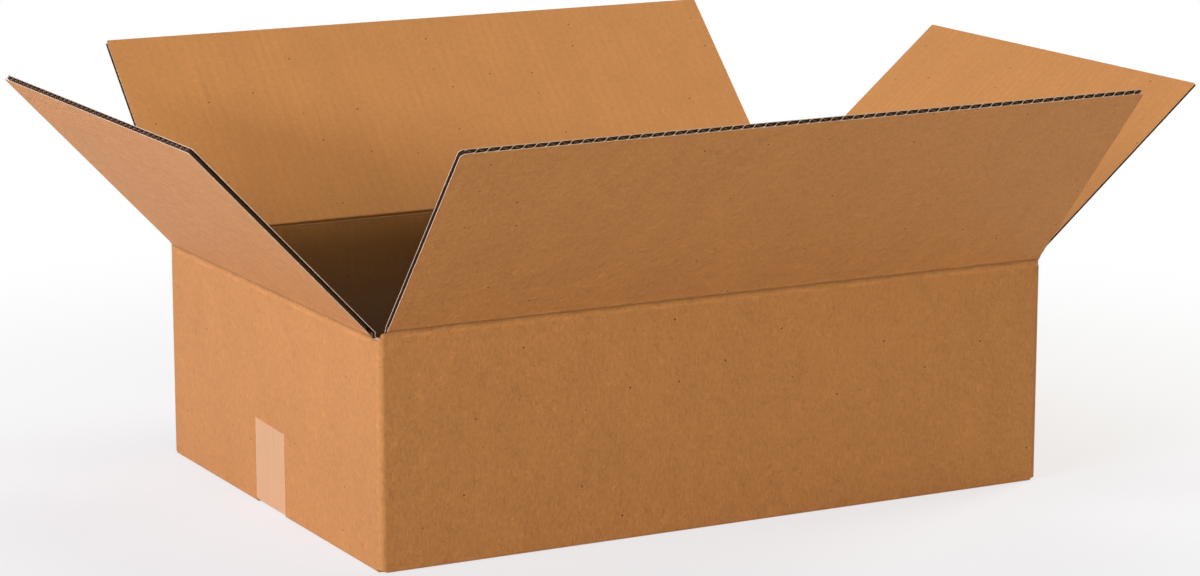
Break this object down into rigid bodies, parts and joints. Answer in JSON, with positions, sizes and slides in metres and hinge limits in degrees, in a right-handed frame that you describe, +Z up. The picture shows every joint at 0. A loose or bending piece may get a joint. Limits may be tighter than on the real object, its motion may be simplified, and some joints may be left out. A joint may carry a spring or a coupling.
{
  "type": "corrugated carton",
  "caption": "Low corrugated shipping carton that stands open: long and short top flaps swing on their creases above a base that is folded shut and taped.",
  "frame": {"origin": "middle of the base, on the surface that the carton stands on", "axes": "+X along the long walls, +Y from the front wall to the back wall, +Z up"},
  "size_m": [0.7785, 0.6134, 0.2991],
  "materials": {
    "kraft_board": "uncoated brown kraft liner",
    "kraft_flap": "uncoated brown kraft liner over fluted paper",
    "sealing_tape": "thin satin film"
  },
  "bodies": {
    "box": {"carton": "kraft_board", "bottom_tape": "sealing_tape"},
    "front_flap": {"front_flap": "kraft_flap"},
    "back_flap": {"back_flap": "kraft_flap"},
    "left_flap": {"left_flap": "kraft_flap"},
    "right_flap": {"right_flap": "kraft_flap"}
  },
  "joints": [
    {"name": "front_crease", "type": "hinge", "parent": "box", "child": "front_flap", "pos_m": [0, -0.182, 0.1613], "axis": [1, 0, 0], "range_deg": [-131.5, 103.5]},
    {"name": "back_crease", "type": "hinge", "parent": "box", "child": "back_flap", "pos_m": [0, 0.182, 0.1613], "axis": [-1, 0, 0], "range_deg": [-136, 99]},
    {"name": "left_crease", "type": "hinge", "parent": "box", "child": "left_flap", "pos_m": [-0.258, 0, 0.157], "axis": [0, -1, 0], "range_deg": [-133.5, 101.5]},
    {"name": "right_crease", "type": "hinge", "parent": "box", "child": "right_flap", "pos_m": [0.258, 0, 0.157], "axis": [0, 1, 0], "range_deg": [-140, 95]}
  ]
}
